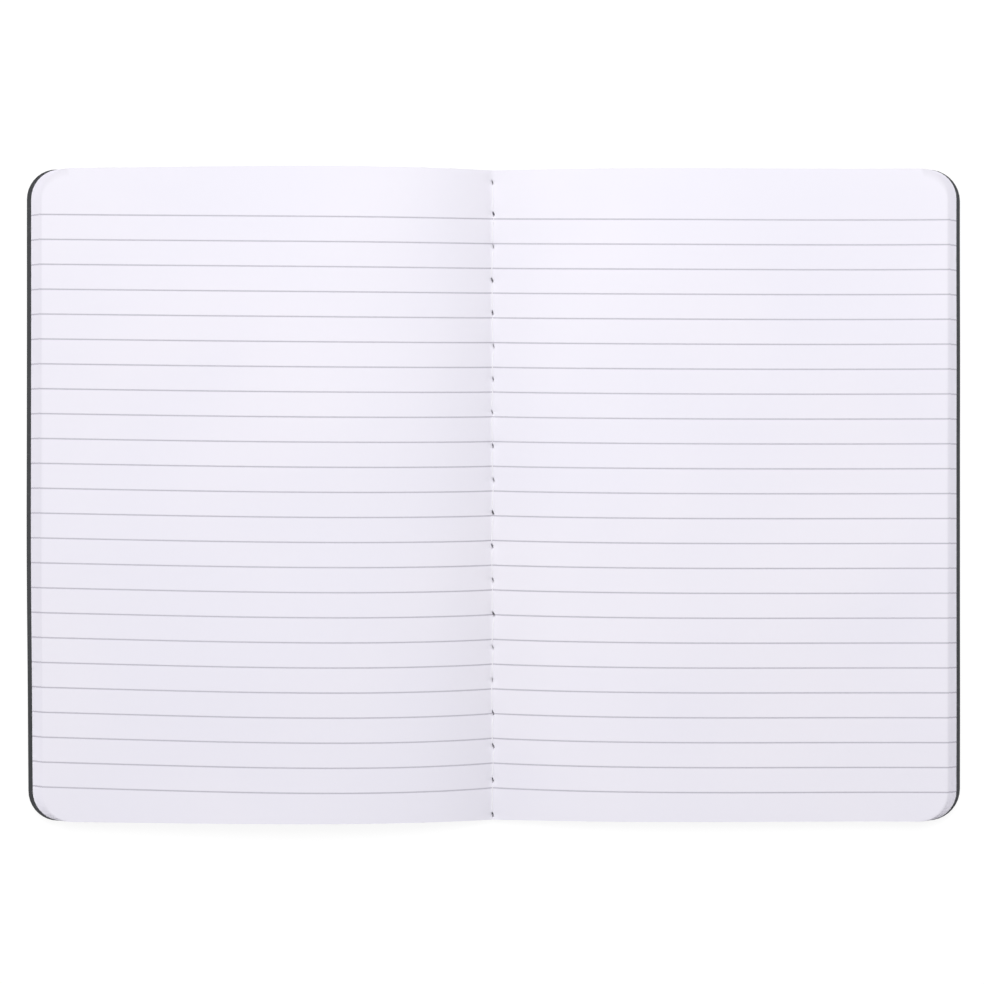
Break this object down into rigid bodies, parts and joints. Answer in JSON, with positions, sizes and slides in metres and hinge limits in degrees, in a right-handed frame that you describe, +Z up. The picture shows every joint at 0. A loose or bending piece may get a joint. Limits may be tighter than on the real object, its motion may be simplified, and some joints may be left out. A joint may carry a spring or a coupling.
{
  "type": "open composition notebook",
  "caption": "Soft-cover ruled notebook, machine-sewn through the fold and lying open at its centre spread; its left half swings over and closes onto the right.",
  "frame": {"origin": "on the table under the middle of the fold: centre of the bounding box's underside", "axes": "+X to the right-hand fore-edge, +Y along the fold to the head of the page, +Z up"},
  "size_m": [0.3014, 0.21, 0.012],
  "materials": {
    "cover_card": "matt uncoated charcoal card",
    "page_paper": "uncoated white paper with grey feint ruling",
    "sewing_thread": "twisted white polyester thread"
  },
  "bodies": {
    "right_half": {"back_cover": "cover_card", "right_pages": "page_paper", "inner_thread": "sewing_thread", "outer_thread": "sewing_thread"},
    "left_half": {"front_cover": "cover_card", "left_pages": "page_paper"}
  },
  "joints": [
    {"name": "spine_fold", "type": "hinge", "parent": "right_half", "child": "left_half", "pos_m": [0, 0, 0.004], "axis": [0, 1, 0], "range_deg": [0, 160]}
  ]
}
